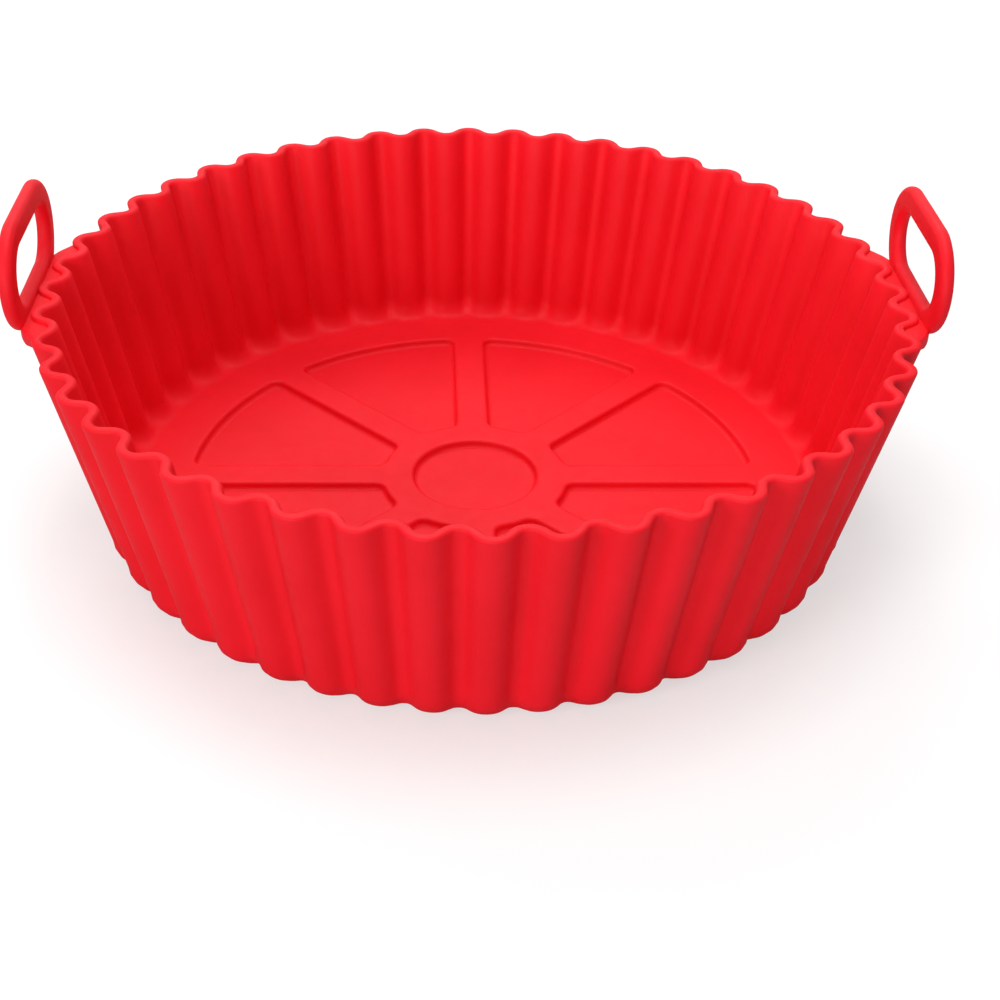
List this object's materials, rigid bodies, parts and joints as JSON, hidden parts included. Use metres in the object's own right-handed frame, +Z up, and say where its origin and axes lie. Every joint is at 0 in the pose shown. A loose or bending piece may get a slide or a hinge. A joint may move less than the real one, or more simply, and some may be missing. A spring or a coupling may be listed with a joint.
{
  "type": "air fryer liner",
  "caption": "Round fluted silicone liner for an air fryer basket, with a flared wall, a floor of raised spokes and upright loop handles for lifting it out.",
  "frame": {"origin": "centre of the flat underside, on the table the liner stands on", "axes": "+Z up out of the open mouth, +X through one of the loop handles, +Y along the floor spoke between the handles"},
  "size_m": [0.2052, 0.1998, 0.075],
  "materials": {
    "silicone": "satin moulded silicone, red all through"
  },
  "bodies": {
    "root": {"liner": "silicone"}
  },
  "joints": []
}
